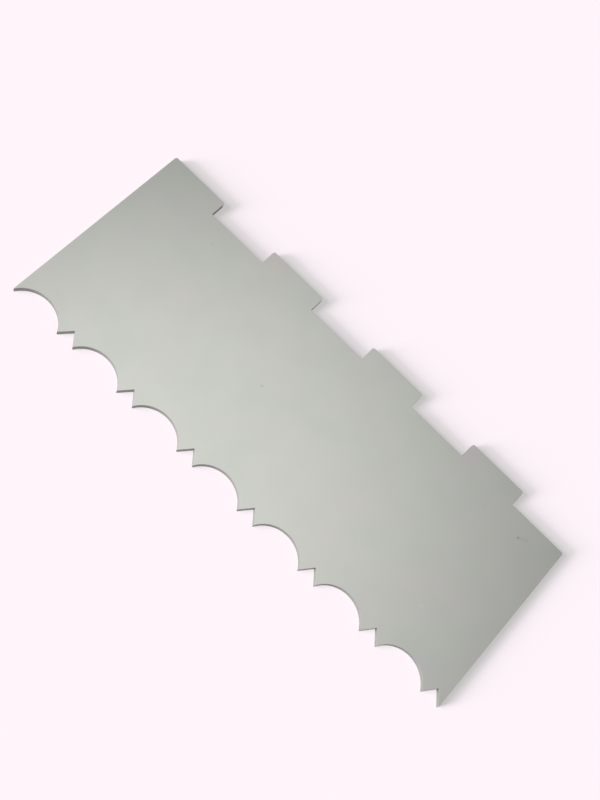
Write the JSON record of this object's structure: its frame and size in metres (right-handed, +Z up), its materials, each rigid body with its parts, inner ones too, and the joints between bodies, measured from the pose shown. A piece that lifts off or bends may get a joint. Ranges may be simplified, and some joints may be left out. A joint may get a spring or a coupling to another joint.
{
  "type": "plastic scraper",
  "caption": "Flat rigid plastic scraper plate with a scalloped, notched long edge and a stepped long edge, for combing ridges into icing.",
  "frame": {"origin": "middle of the bounding box's underside, on the surface that the plate lies on", "axes": "+X along the plate's length, +Y across it towards the stepped edge, +Z up through its thickness"},
  "size_m": [0.25, 0.1, 0.003],
  "materials": {
    "satin_plastic": "satin"
  },
  "bodies": {
    "root": {"scraper_plate": "satin_plastic"}
  },
  "joints": []
}
